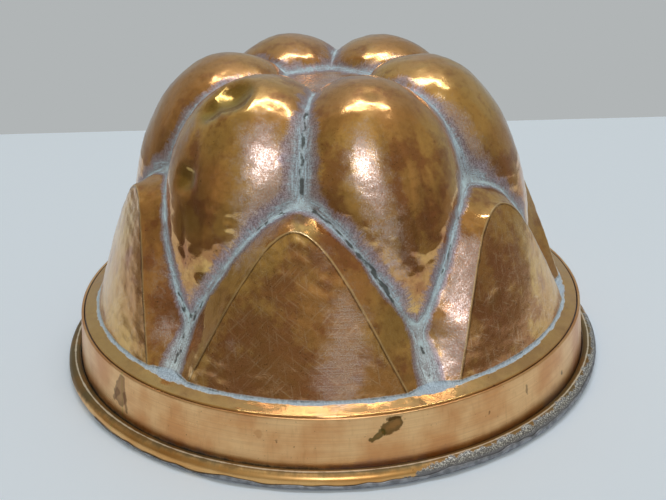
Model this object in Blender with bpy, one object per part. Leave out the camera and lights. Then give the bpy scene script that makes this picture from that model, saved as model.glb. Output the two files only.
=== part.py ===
"""A copper cake mould: six round lobes over six pointed arches, a plain collar and a wired rim.

The mould stands open side down on z = 0, with its axis on Z and the middle of one arch facing -Y.
Sizes are in millimetres and angles in degrees, and become metres where a mesh is made. An angle round
the mould is measured from -Y towards +X. A section is a list of (radius, height) pairs.
"""

import bmesh
import bpy
import numpy as np

MM = 0.001

# Sheet, wire and the gap kept where two pieces meet
SHEET = 0.9
WIRE_RADIUS = 1.5
GAP = 0.3

# Crown: heights above the table
LOBES = 6
LOBE_TOP_HEIGHT = 104.5
PLATE_DROP = 9.0  # the flat plate lies this far below the tops of the lobes
SADDLE_DROP = 6.3  # and so much is the crease between two lobes below them
ARCH_PEAK_HEIGHT = 72.5  # where the crease between two lobes meets an arch
RIDGE_PEAK_HEIGHT = 69.8  # top of an arch's front face
BELLY_HEIGHT = 38.0
TIP_HEIGHT = 34.5  # lower end of a lobe

# Crown: radii near the axis
PLATE_CORNER_RADIUS = 17.5
PLATE_SIDE_RADIUS = 14.6
LOBE_TOP_RADIUS = 33.0
SADDLE_RADIUS = 28.0

# Crown: how far inside the foot of the arch faces each feature lies
FACE_FOOT_RADIUS = 82.7
FACE_LEAN = 16.1
ARCH_DEPTH = 13.0
BELLY_INSET = 12.6
VALLEY_INSET = 3.2

# Crown: form of the lobes and arches
FACE_FOOT_ANGLE = 24.15
TIP_SLICE_RADIUS = 16.0  # a lobe's level cross-section is an arc, which tightens to this at its tip
CREASE_ROUNDNESS = 0.75  # 1 is a round-headed arch, 0 a straight-sided triangle
CREASE_POWER = 0.4
RIDGE_ROUNDNESS = 0.83
RIDGE_POWER = 0.5

# Ledge, flange and collar
LEDGE_WIDTH = 4.8
LEDGE_DROP = 1.7
LEDGE_ROUND = 0.6
FLANGE_DEPTH = 6.0
COLLAR_HEIGHT = 20.5
COLLAR_LEAN = 6.0  # degrees that the collar leans outwards on its way down
REST_FLAT = 0.3  # how much of the bead's underside is hammered flat
SEAM_ANGLE = -39.5
SEAM_WIDTH = 0.6

# Solder
FILLET = 1.8
RUN_START = -46.0
RUN_END = 104.0
RUN_LOW = -46.0  # the run covers the bead from this angle of its round section
RUN_HIGH_START = -22.0  # up to this one where it starts
RUN_HIGH_END = 24.0  # and up to this one where it ends
RUN_EDGE = 0.15
RUN_THICKNESS = 0.45
RUN_LUMP = 0.2
LUMP_STEP = 0.7  # radians of the lumps' short wave for each degree round the rim
LUMP_DRIFT = 0.23  # and of their long wave

# Mesh steps
LOBE_STEPS = 5
RISE_STEPS = 3
FALL_STEPS = 7
LOWER_STEPS = 7
VALLEY_STEPS = 2
FACE_STEPS = 3
SHOULDER_STEPS = 2
FILLET_STEPS = 3
ROUND_STEPS = 72
CURL_STEPS = 14
WIRE_STEPS = 8
RUN_STEPS = 40
RUN_ARC_STEPS = 4
SHARP_ANGLE = 32.0
MERGE_WITHIN = 0.01  # points nearer than this are one
LEAST_ARC = 1e-6  # stands in for a bulge of no height, in radians

# Sizes that follow from those above
HALF_PITCH = 180 / LOBES
PLATE_HEIGHT = LOBE_TOP_HEIGHT - PLATE_DROP
SADDLE_HEIGHT = LOBE_TOP_HEIGHT - SADDLE_DROP
FOOT_HEIGHT = COLLAR_HEIGHT + LEDGE_DROP
FLANGE_FOOT_HEIGHT = COLLAR_HEIGHT - FLANGE_DEPTH
RIDGE_PEAK_RADIUS = FACE_FOOT_RADIUS - FACE_LEAN
ARCH_PEAK_RADIUS = RIDGE_PEAK_RADIUS - ARCH_DEPTH
BELLY_RADIUS = FACE_FOOT_RADIUS - BELLY_INSET
VALLEY_FOOT_RADIUS = FACE_FOOT_RADIUS - VALLEY_INSET
LEDGE_RADIUS = FACE_FOOT_RADIUS + LEDGE_WIDTH
LEAN = np.radians(COLLAR_LEAN)
BEAD_RADIUS = WIRE_RADIUS + GAP + SHEET
BEAD_HEIGHT = BEAD_RADIUS - REST_FLAT
CURL_RADIUS = BEAD_RADIUS - SHEET / 2
COLLAR_TOP_RADIUS = LEDGE_RADIUS + GAP + SHEET / 2  # to the middle of the sheet


def spot(angle, radius, height):
    """Points in space for angles, radii and heights that broadcast together."""
    angle, radius, height = np.broadcast_arrays(np.radians(angle), radius, height)
    return np.stack([radius * np.sin(angle), -radius * np.cos(angle), height], axis=-1)


def oval(centre, half_width, half_height, start, end, steps):
    """A stretch of an ellipse as (radius, height) pairs; 0 degrees is its top and 90 its outer end."""
    turn = np.radians(np.linspace(start, end, steps + 1))
    return np.stack(
        [centre[0] + half_width * np.sin(turn), centre[1] + half_height * np.cos(turn)], axis=-1
    )


def hump(foot_radius, top, low, end):
    """A line out from the plate's edge: a short rise to its top, then the long outer fall."""
    rise = oval(
        (top[0], PLATE_HEIGHT), top[0] - foot_radius, top[1] - PLATE_HEIGHT, -90, 0, RISE_STEPS
    )
    fall = oval((top[0], low[1]), low[0] - top[0], top[1] - low[1], 0, end, FALL_STEPS)
    return np.concatenate([rise, fall[1:]])


def belly_turn(height):
    """How far round its outer ellipse the middle line of a lobe is at this height, in degrees."""
    return np.degrees(np.arccos((height - BELLY_HEIGHT) / (LOBE_TOP_HEIGHT - BELLY_HEIGHT)))


def lobe_middle(height):
    """Radius of a lobe's middle line at heights below the arch peaks."""
    return LOBE_TOP_RADIUS + (BELLY_RADIUS - LOBE_TOP_RADIUS) * np.sin(np.radians(belly_turn(height)))


def bowed(roundness, power, share):
    """0 to 1 down one side of an arch, mixing a round head and a straight line."""
    return roundness * share**power + (1 - roundness) * share


def slice_radius(height):
    """Radius of a lobe's level cross-section; at the arch peaks it runs through the crease."""
    sideways = ARCH_PEAK_RADIUS * np.sin(np.radians(HALF_PITCH))
    inwards = lobe_middle(ARCH_PEAK_HEIGHT) - ARCH_PEAK_RADIUS * np.cos(np.radians(HALF_PITCH))
    at_peak = (sideways**2 + inwards**2) / (2 * inwards)
    share = (ARCH_PEAK_HEIGHT - height) / (ARCH_PEAK_HEIGHT - TIP_HEIGHT)
    return at_peak + (TIP_SLICE_RADIUS - at_peak) * share


def crease_line(height):
    """Back line of an arch: down over the lobe to its tip, then down the valley to the ledge."""
    on_lobe = np.maximum(height, TIP_HEIGHT)
    share = (ARCH_PEAK_HEIGHT - on_lobe) / (ARCH_PEAK_HEIGHT - TIP_HEIGHT)
    angle = HALF_PITCH * bowed(CREASE_ROUNDNESS, CREASE_POWER, share)
    away = np.radians(HALF_PITCH - angle)
    arc = slice_radius(on_lobe)
    centre = lobe_middle(on_lobe) - arc
    radius = centre * np.cos(away) + np.sqrt(arc**2 - (centre * np.sin(away)) ** 2)
    below = (on_lobe - height) / (TIP_HEIGHT - FOOT_HEIGHT)
    return spot(angle, radius + (VALLEY_FOOT_RADIUS - radius) * below, height)


def bulge(middle, edge):
    """Rows of a half lobe, each an arc of a circle that starts square to the lobe's middle plane."""
    across = spot(HALF_PITCH - 90, 1.0, 0.0)
    sideways = (edge - middle) @ across
    sunk = edge - middle - sideways[:, None] * across
    arc = 2 * np.arctan2(np.linalg.norm(sunk, axis=1), sideways)[:, None]
    arc = np.maximum(arc, LEAST_ARC)
    turn = arc * np.linspace(0, 1, LOBE_STEPS + 1)
    along = (sideways[:, None] * np.sin(turn) / np.sin(arc))[:, :, None] * across
    down = ((1 - np.cos(turn)) / (1 - np.cos(arc)))[:, :, None] * sunk[:, None, :]
    return middle[:, None, :] + along + down


def crown_patches():
    """Grids of points that cover the crown from the middle of a lobe to the middle of an arch."""
    upper_middle = hump(
        PLATE_SIDE_RADIUS, (LOBE_TOP_RADIUS, LOBE_TOP_HEIGHT), (BELLY_RADIUS, BELLY_HEIGHT),
        belly_turn(ARCH_PEAK_HEIGHT),
    )
    upper_edge = hump(
        PLATE_CORNER_RADIUS, (SADDLE_RADIUS, SADDLE_HEIGHT), (ARCH_PEAK_RADIUS, ARCH_PEAK_HEIGHT), 90
    )
    upper = bulge(spot(HALF_PITCH, *upper_middle.T), spot(0, *upper_edge.T))
    plate = np.stack([np.zeros_like(upper[0]) + [0, 0, PLATE_HEIGHT], upper[0]])

    tip = np.sqrt((ARCH_PEAK_HEIGHT - TIP_HEIGHT) / (ARCH_PEAK_HEIGHT - FOOT_HEIGHT))
    down = np.concatenate([
        np.linspace(0, tip, LOWER_STEPS + 1),
        np.linspace(tip, 1, VALLEY_STEPS + 1)[1:],
    ])
    crease_height = ARCH_PEAK_HEIGHT - (ARCH_PEAK_HEIGHT - FOOT_HEIGHT) * down**2
    crease = crease_line(crease_height)
    beside_lobe = crease_height[: LOWER_STEPS + 1]
    lower = bulge(
        spot(HALF_PITCH, lobe_middle(beside_lobe), beside_lobe), crease[: LOWER_STEPS + 1]
    )

    ridge_angle = FACE_FOOT_ANGLE * bowed(RIDGE_ROUNDNESS, RIDGE_POWER, down**2)
    ridge_radius = RIDGE_PEAK_RADIUS + FACE_LEAN * down**2
    ridge_height = RIDGE_PEAK_HEIGHT - (RIDGE_PEAK_HEIGHT - FOOT_HEIGHT) * down**2
    side = np.stack([crease, spot(ridge_angle, ridge_radius, ridge_height)], axis=1)
    across = np.linspace(1, 0, FACE_STEPS + 1)
    face = spot(ridge_angle[:, None] * across, ridge_radius[:, None], ridge_height[:, None])

    foot_angles = np.concatenate([[HALF_PITCH], FACE_FOOT_ANGLE * across])
    foot = np.concatenate([side[-1, :1], face[-1]])
    shoulder = oval(
        (LEDGE_RADIUS - LEDGE_ROUND, COLLAR_HEIGHT - LEDGE_ROUND / 2), LEDGE_ROUND, LEDGE_ROUND,
        0, 90, SHOULDER_STEPS,
    )
    flange_foot = (LEDGE_RADIUS + (FLANGE_DEPTH - LEDGE_ROUND) * np.tan(LEAN), FLANGE_FOOT_HEIGHT)
    ledge = np.stack([foot] + [spot(foot_angles, *pair) for pair in [*shoulder, flange_foot]])
    return [plate, upper, lower, side, face, ledge]


def add_grid(bm, points, inside_out):
    """Adds a grid of points, in millimetres, as quads; equal neighbours are merged later."""
    corners = [[bm.verts.new(point) for point in row] for row in points * MM]
    for upper, lower in zip(corners, corners[1:]):
        for k in range(len(upper) - 1):
            quad = [upper[k], lower[k], lower[k + 1], upper[k + 1]]
            bm.faces.new(quad[::-1] if inside_out else quad)


def finish(name, bm, material):
    """Turns the bmesh into a named object with its material, smooth except at its sharp edges."""
    bmesh.ops.remove_doubles(bm, verts=bm.verts, dist=MERGE_WITHIN * MM)
    mesh = bpy.data.meshes.new(name)
    bm.to_mesh(mesh)
    bm.free()
    mesh.shade_smooth()
    mesh.set_sharp_from_angle(angle=np.radians(SHARP_ANGLE))
    mesh.materials.append(material)
    piece = bpy.data.objects.new(name, mesh)
    bpy.context.scene.collection.objects.link(piece)
    return piece


def metal(name, colour, roughness):
    material = bpy.data.materials.new(name)
    material.use_nodes = True
    shader = material.node_tree.nodes["Principled BSDF"]
    shader.inputs["Base Color"].default_value = (*colour, 1)
    shader.inputs["Roughness"].default_value = roughness
    shader.inputs["Metallic"].default_value = 1.0
    material.diffuse_color = (*colour, 1)
    return material


def crown_shell(material):
    """The raised sheet: plate, lobes, arches, ledge and the flange that drops inside the collar."""
    bm = bmesh.new()
    mirror = np.array([-1, 1, 1])
    for k in range(LOBES):
        turn = np.radians(k * 2 * HALF_PITCH)
        spin = np.array([
            [np.cos(turn), -np.sin(turn), 0],
            [np.sin(turn), np.cos(turn), 0],
            [0, 0, 1],
        ])
        for patch in crown_patches():
            add_grid(bm, patch @ spin.T, inside_out=True)
            add_grid(bm, patch * mirror @ spin.T, inside_out=False)
    piece = finish("crown_shell", bm, material)
    sheet = piece.modifiers.new("sheet", "SOLIDIFY")
    sheet.thickness = SHEET * MM
    sheet.offset = -1
    return piece


def sweep(name, sections, angles, closed, material):
    """A solid whose section at each angle is a closed outline, capped unless it closes on itself."""
    bm = bmesh.new()
    rings = [
        [bm.verts.new(point) for point in spot(angle, *section.T) * MM]
        for angle, section in zip(angles, sections)
    ]
    pairs = list(zip(rings, rings[1:])) + ([(rings[-1], rings[0])] if closed else [])
    for near, far in pairs:
        for k in range(len(near)):
            bm.faces.new([near[k - 1], near[k], far[k], far[k - 1]])
    if not closed:
        bm.faces.new(rings[0])
        bm.faces.new(rings[-1][::-1])
    bmesh.ops.recalc_face_normals(bm, faces=bm.faces)
    return finish(name, bm, material)


def bead_centre():
    """The middle of the wire, placed so that the collar's wall runs down tangent to the curl."""
    drop = COLLAR_HEIGHT - BEAD_HEIGHT
    return np.array([
        COLLAR_TOP_RADIUS + drop * np.tan(LEAN) + CURL_RADIUS / np.cos(LEAN), BEAD_HEIGHT
    ])


def collar_section():
    """Outline of the collar's strip: a straight wall that curls under, round and over the wire.

    The wall's outer face passes the wire at WIRE_RADIUS + GAP from its middle, and the strip's raw
    edge, at BEAD_RADIUS from it, stops GAP short of the wall.
    """
    touch = 180 + COLLAR_LEAN
    short_of_wall = np.degrees(np.arccos(WIRE_RADIUS / BEAD_RADIUS))
    turn = np.radians(np.linspace(touch, touch + 360 - short_of_wall, CURL_STEPS + 1))
    outwards = np.stack([np.cos(turn), np.sin(turn)], axis=-1)
    curl = bead_centre() + outwards * CURL_RADIUS
    middle = np.concatenate([[[COLLAR_TOP_RADIUS, COLLAR_HEIGHT]], curl])
    outwards = np.concatenate([outwards[:1], outwards])
    outline = np.concatenate([
        middle + outwards * SHEET / 2,
        (middle - outwards * SHEET / 2)[::-1],
    ])
    outline[:, 1] = np.maximum(outline[:, 1], 0)
    return outline


def collar_pieces(copper, braze):
    """The collar, an open ring of strip, and the line of braze that joins its two ends."""
    section = collar_section()
    half_seam = np.degrees((SEAM_WIDTH / 2) / COLLAR_TOP_RADIUS)
    half_slot = np.degrees((SEAM_WIDTH / 2 + GAP) / COLLAR_TOP_RADIUS)
    strip_angles = SEAM_ANGLE + np.linspace(half_slot, 360 - half_slot, ROUND_STEPS + 1)
    seam_angles = (SEAM_ANGLE - half_seam, SEAM_ANGLE + half_seam)
    sweep("collar_band", [section] * len(strip_angles), strip_angles, False, copper)
    sweep("collar_seam_braze", [section] * 2, seam_angles, False, braze)


def ring_angles():
    """Angles of a closed ring's sections, in step with the collar's own."""
    return SEAM_ANGLE + np.arange(ROUND_STEPS) * 360 / ROUND_STEPS


def rim_wire(material):
    """The iron wire inside the curl."""
    turn = np.arange(WIRE_STEPS) * 2 * np.pi / WIRE_STEPS
    section = bead_centre() + WIRE_RADIUS * np.stack([np.cos(turn), np.sin(turn)], axis=-1)
    sweep("rim_wire", [section] * ROUND_STEPS, ring_angles(), True, material)


def collar_solder(material):
    """The hollow fillet of solder under the flange's lower edge, on the inside of the collar."""
    down = np.linspace(0, 1, FILLET_STEPS + 1)
    height = FLANGE_FOOT_HEIGHT - GAP - FILLET * down
    wall = COLLAR_TOP_RADIUS - SHEET / 2 - GAP + (COLLAR_HEIGHT - height) * np.tan(LEAN)
    hollow = wall - SHEET * (1 - down) ** 2
    section = np.stack([
        np.append(wall[0], hollow),
        np.append(height[0], height),
    ], axis=-1)
    sweep("collar_solder", [section] * ROUND_STEPS, ring_angles(), True, material)


def rim_tin(material):
    """The lumpy run of tin over the bead's outer lower side, which thins out at its ends and edges."""
    seat = BEAD_RADIUS + GAP
    angles = np.linspace(RUN_START, RUN_END, RUN_STEPS + 1)
    sections = []
    for angle in angles:
        along = (angle - RUN_START) / (RUN_END - RUN_START)
        high = RUN_HIGH_START + (RUN_HIGH_END - RUN_HIGH_START) * along
        turn = np.radians(np.linspace(RUN_LOW, high, RUN_ARC_STEPS + 1))
        outwards = np.stack([np.cos(turn), np.sin(turn)], axis=-1)
        lump = RUN_LUMP * np.sin(LUMP_STEP * angle) * np.cos(LUMP_DRIFT * angle)
        swell = (RUN_THICKNESS + lump) * np.sqrt(np.sin(np.pi * along))
        thick = RUN_EDGE + swell * np.sin(np.linspace(0, np.pi, RUN_ARC_STEPS + 1))
        section = np.concatenate([
            bead_centre() + outwards * seat,
            (bead_centre() + outwards * (seat + thick)[:, None])[::-1],
        ])
        section[:, 1] = np.maximum(section[:, 1], 0)
        sections.append(section)
    sweep("rim_tin", sections, angles, False, material)


for old in list(bpy.data.objects):
    bpy.data.objects.remove(old)

copper = metal("polished_copper", (0.86, 0.47, 0.28), 0.22)
satin_copper = metal("satin_copper", (0.88, 0.52, 0.32), 0.34)
braze = metal("yellow_braze", (0.78, 0.60, 0.30), 0.35)
iron = metal("iron_wire", (0.36, 0.34, 0.32), 0.5)
tin = metal("tin_solder", (0.62, 0.62, 0.60), 0.45)

crown_shell(copper)
collar_pieces(satin_copper, braze)
rim_wire(iron)
collar_solder(tin)
rim_tin(tin)
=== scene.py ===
"""Looks of the copper cake mould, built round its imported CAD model.

Sizes are in millimetres and angles in degrees, and become metres where a mesh, lamp or camera is
made. An angle round the mould is measured from -Y towards +X, as in the CAD. Every new surface is a
formula over whole arrays: a patch of the crown is a grid between two lines, and a ring is a section
carried round the axis.
"""

from functools import partial

import bmesh
import bpy
import numpy as np
from mathutils import Matrix


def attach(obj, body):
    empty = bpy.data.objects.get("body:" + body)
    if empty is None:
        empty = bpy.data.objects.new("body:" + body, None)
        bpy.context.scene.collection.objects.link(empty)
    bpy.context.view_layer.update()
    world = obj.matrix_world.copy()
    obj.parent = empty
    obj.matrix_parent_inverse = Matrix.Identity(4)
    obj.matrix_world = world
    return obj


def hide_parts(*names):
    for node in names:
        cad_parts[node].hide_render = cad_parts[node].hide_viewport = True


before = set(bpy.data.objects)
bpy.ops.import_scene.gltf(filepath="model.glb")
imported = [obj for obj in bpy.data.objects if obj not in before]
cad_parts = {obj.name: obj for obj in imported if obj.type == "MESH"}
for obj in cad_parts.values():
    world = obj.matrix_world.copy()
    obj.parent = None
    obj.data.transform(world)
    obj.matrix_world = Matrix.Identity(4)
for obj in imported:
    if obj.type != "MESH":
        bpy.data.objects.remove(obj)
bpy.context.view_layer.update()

MM = 0.001

# Sizes shared with the CAD
SHEET = 0.9
WIRE_RADIUS = 1.5
GAP = 0.3
LOBES = 6
LOBE_TOP_HEIGHT = 104.5
PLATE_HEIGHT = 95.5
SADDLE_HEIGHT = 98.2
ARCH_PEAK_HEIGHT = 72.5
RIDGE_PEAK_HEIGHT = 69.8
BELLY_HEIGHT = 38.0
TIP_HEIGHT = 34.5
FOOT_HEIGHT = 22.2
PLATE_CORNER_RADIUS = 17.5
PLATE_SIDE_RADIUS = 14.6
LOBE_TOP_RADIUS = 33.0
SADDLE_RADIUS = 28.0
FACE_LEAN = 16.1
RIDGE_PEAK_RADIUS = 66.6
ARCH_PEAK_RADIUS = 53.6
BELLY_RADIUS = 70.1
VALLEY_FOOT_RADIUS = 79.5
FACE_FOOT_ANGLE = 24.15
TIP_SLICE_RADIUS = 16.0
CREASE_ROUNDNESS = 0.75
CREASE_POWER = 0.4
RIDGE_ROUNDNESS = 0.83
RIDGE_POWER = 0.5
LEDGE_RADIUS = 87.5
LEDGE_ROUND = 0.6
COLLAR_HEIGHT = 20.5
FLANGE_FOOT_HEIGHT = 14.5
LEAN = np.radians(6.0)
SEAM_ANGLE = -39.5
SEAM_WIDTH = 0.6
REST_FLAT = 0.3
HALF_PITCH = 180 / LOBES
BEAD_RADIUS = WIRE_RADIUS + GAP + SHEET
BEAD_HEIGHT = BEAD_RADIUS - REST_FLAT
CURL_RADIUS = BEAD_RADIUS - SHEET / 2
COLLAR_TOP_RADIUS = LEDGE_RADIUS + GAP + SHEET / 2
# The middle of the wire, where the collar's wall runs down tangent to the curl
BEAD_CENTRE = np.array([
    COLLAR_TOP_RADIUS + (COLLAR_HEIGHT - BEAD_HEIGHT) * np.tan(LEAN) + CURL_RADIUS / np.cos(LEAN),
    BEAD_HEIGHT,
])
RUN_START = -46.0
RUN_END = 104.0
RUN_LOW = -46.0
RUN_HIGH_START = -22.0
RUN_HIGH_END = 24.0

# Camera: how it stands to the mould in the photograph
CAMERA_RISE = 24.58
CAMERA_TURN = 8.23
CAMERA_ROLL = -1.536
CAMERA_DISTANCE = 376.55
CAMERA_AIM = (1.32, 0.0, 33.38)
CAMERA_LENS = 56.76
CAMERA_FILM = 36.0
CAMERA_NEAR = 0.01


def turned(degrees):
    """Matrix that turns points about the mould's axis."""
    turn = np.radians(degrees)
    return np.array([
        [np.cos(turn), -np.sin(turn), 0],
        [np.sin(turn), np.cos(turn), 0],
        [0, 0, 1],
    ])


def put(name, data, pose=None):
    """Adds an object to the scene, placed by three directions and a point in metres as columns."""
    made = bpy.data.objects.new(name, data)
    if pose is not None:
        made.matrix_world = Matrix([*pose.tolist(), [0, 0, 0, 1]])
    bpy.context.scene.collection.objects.link(made)
    return made


def place_camera():
    """Puts the camera on a line that rises from its aim point, turned round the axis and rolled."""
    rise, roll = np.radians(CAMERA_RISE), np.radians(CAMERA_ROLL)
    back = np.array([0, -np.cos(rise), np.sin(rise)])
    right = np.array([1.0, 0, 0])
    up = np.cross(back, right)
    columns = [
        np.cos(roll) * right + np.sin(roll) * up,
        np.cos(roll) * up - np.sin(roll) * right,
        back,
        (np.array(CAMERA_AIM) + CAMERA_DISTANCE * back) * MM,
    ]
    lens = bpy.data.cameras.new("camera")
    lens.lens, lens.sensor_width, lens.clip_start = CAMERA_LENS, CAMERA_FILM, CAMERA_NEAR
    pose = turned(CAMERA_TURN) @ np.stack(columns, axis=1)
    bpy.context.scene.camera = put("camera", lens, pose)


# Shapes: lines and grids

def spot(angle, radius, height):
    """Points in space for angles, radii and heights that broadcast together."""
    angle, radius, height = np.broadcast_arrays(np.radians(angle), radius, height)
    return np.stack([radius * np.sin(angle), -radius * np.cos(angle), height], axis=-1)


def oval(centre, half_width, half_height, turns):
    """(radius, height) pairs on an ellipse at these turns: 0 is its top and 90 its outer end."""
    turns = np.radians(turns)
    return np.stack(
        [centre[0] + half_width * np.sin(turns), centre[1] + half_height * np.cos(turns)], axis=-1
    )


def closing(steps, power):
    """Fractions from 0 to 1 whose steps shrink towards 1: one minus a power of what is left."""
    return 1 - (1 - np.linspace(0, 1, steps + 1)) ** power


def eased(steps):
    """Fractions from 0 to 1 whose steps shrink towards both ends, as half a cosine wave does."""
    return (1 - np.cos(np.pi * np.linspace(0, 1, steps + 1))) / 2


WAVE_COUNT = 16
LEAST_SQUARE = 1e-12


def waves(points, length, seed):
    """A smooth field of about -1 to 1: sine waves in all directions, of near this length."""
    draw = np.random.default_rng(seed)
    ways = draw.normal(size=(WAVE_COUNT, 3))
    ways *= (2 * np.pi / length) * draw.uniform(0.7, 1.4, (WAVE_COUNT, 1)) / np.linalg.norm(
        ways, axis=1, keepdims=True
    )
    starts = draw.uniform(0, 2 * np.pi, WAVE_COUNT)
    return np.sin(points @ ways.T + starts).sum(axis=-1) / np.sqrt(WAVE_COUNT)


def nearest_on(points, line):
    """Distance from each point to the nearest stretch of a line, and how far along it that is."""
    start, step = line[:-1], np.diff(line, axis=0)
    squared = np.maximum((step**2).sum(axis=-1), LEAST_SQUARE)
    share = np.clip(((points[:, None] - start) * step).sum(axis=-1) / squared, 0, 1)
    away = np.linalg.norm(points[:, None] - start - share[..., None] * step, axis=-1)
    best = away.argmin(axis=1)
    row = np.arange(len(points))
    length = np.sqrt(squared)
    passed = np.cumsum(length) - length
    return away[row, best], passed[best] + share[row, best] * length[best]


def bell(points, centre, reach):
    """1 at a centre, falling off as a bell curve of this reach."""
    return np.exp(-((points - np.array(centre)) ** 2).sum(axis=-1) / reach**2)


# Crown

UPPER_RISE_STEPS = 10
UPPER_FALL_STEPS = 30
LOWER_STEPS = 38
VALLEY_STEPS = 14
FIRST_STEP = 0.055
LOBE_STEPS = 22
SIDE_STEPS = 12
FACE_STEPS = 18
PLATE_STEPS = 6
LEDGE_STEPS = 7
SHOULDER_STEPS = 4
FLANGE_STEPS = 2
FIRST_COLUMN = 0.3
EDGE_BLUNT = 0.35
MERGE_WITHIN = 0.008
LEAST_ARC = 1e-6
LINE_APART = 200  # added to the distance along each further crease line
# How strongly the rows crowd towards creases, and towards the plate's edge and the walls' foot
CREASE_CROWDING, EDGE_CROWDING = 1.4, 1.5


def hump(foot_radius, top, low, last_turn):
    """A line out from the plate's edge: a quarter ellipse up to its top, then a long outer fall."""
    rise = oval(
        (top[0], PLATE_HEIGHT), top[0] - foot_radius, top[1] - PLATE_HEIGHT,
        -90 + 90 * (1 - closing(UPPER_RISE_STEPS, CREASE_CROWDING)[::-1]),
    )
    fall = oval(
        (top[0], low[1]), low[0] - top[0], top[1] - low[1],
        np.linspace(0, last_turn, UPPER_FALL_STEPS + 1),
    )
    return np.concatenate([rise, fall[1:]])


def belly_turn(height):
    """How far round its outer ellipse the middle line of a lobe is at this height, in degrees."""
    return np.degrees(np.arccos((height - BELLY_HEIGHT) / (LOBE_TOP_HEIGHT - BELLY_HEIGHT)))


def lobe_middle(height):
    """Radius of a lobe's middle line at heights below the arch peaks."""
    reach = BELLY_RADIUS - LOBE_TOP_RADIUS
    return LOBE_TOP_RADIUS + reach * np.sin(np.radians(belly_turn(height)))


def bowed(roundness, power, share):
    """0 to 1 down one side of an arch, mixing a round head and a straight line."""
    return roundness * share**power + (1 - roundness) * share


def slice_radius(height):
    """Radius of a lobe's level cross-section; at the arch peaks it runs through the crease."""
    sideways = ARCH_PEAK_RADIUS * np.sin(np.radians(HALF_PITCH))
    inwards = lobe_middle(ARCH_PEAK_HEIGHT) - ARCH_PEAK_RADIUS * np.cos(np.radians(HALF_PITCH))
    at_peak = (sideways**2 + inwards**2) / (2 * inwards)
    share = (ARCH_PEAK_HEIGHT - height) / (ARCH_PEAK_HEIGHT - TIP_HEIGHT)
    return at_peak + (TIP_SLICE_RADIUS - at_peak) * share


def crease_line(height):
    """Back line of an arch: down over the lobe to its tip, then down the valley to the ledge."""
    on_lobe = np.maximum(height, TIP_HEIGHT)
    share = (ARCH_PEAK_HEIGHT - on_lobe) / (ARCH_PEAK_HEIGHT - TIP_HEIGHT)
    angle = HALF_PITCH * bowed(CREASE_ROUNDNESS, CREASE_POWER, share)
    away = np.radians(HALF_PITCH - angle)
    arc = slice_radius(on_lobe)
    centre = lobe_middle(on_lobe) - arc
    radius = centre * np.cos(away) + np.sqrt(arc**2 - (centre * np.sin(away)) ** 2)
    below = (on_lobe - height) / (TIP_HEIGHT - FOOT_HEIGHT)
    return spot(angle, radius + (VALLEY_FOOT_RADIUS - radius) * below, height)


def bulge(middle, edge):
    """Rows of a half lobe, each an arc that starts square to the lobe's middle plane."""
    across = spot(HALF_PITCH - 90, 1.0, 0.0)
    sideways = (edge - middle) @ across
    sunk = edge - middle - sideways[:, None] * across
    arc = 2 * np.arctan2(np.linalg.norm(sunk, axis=1), sideways)[:, None]
    arc = np.maximum(arc, LEAST_ARC)
    turn = arc * closing(LOBE_STEPS, CREASE_CROWDING)
    along = (sideways[:, None] * np.sin(turn) / np.sin(arc))[:, :, None] * across
    down = ((1 - np.cos(turn)) / (1 - np.cos(arc)))[:, :, None] * sunk[:, None, :]
    return middle[:, None, :] + along + down


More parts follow.
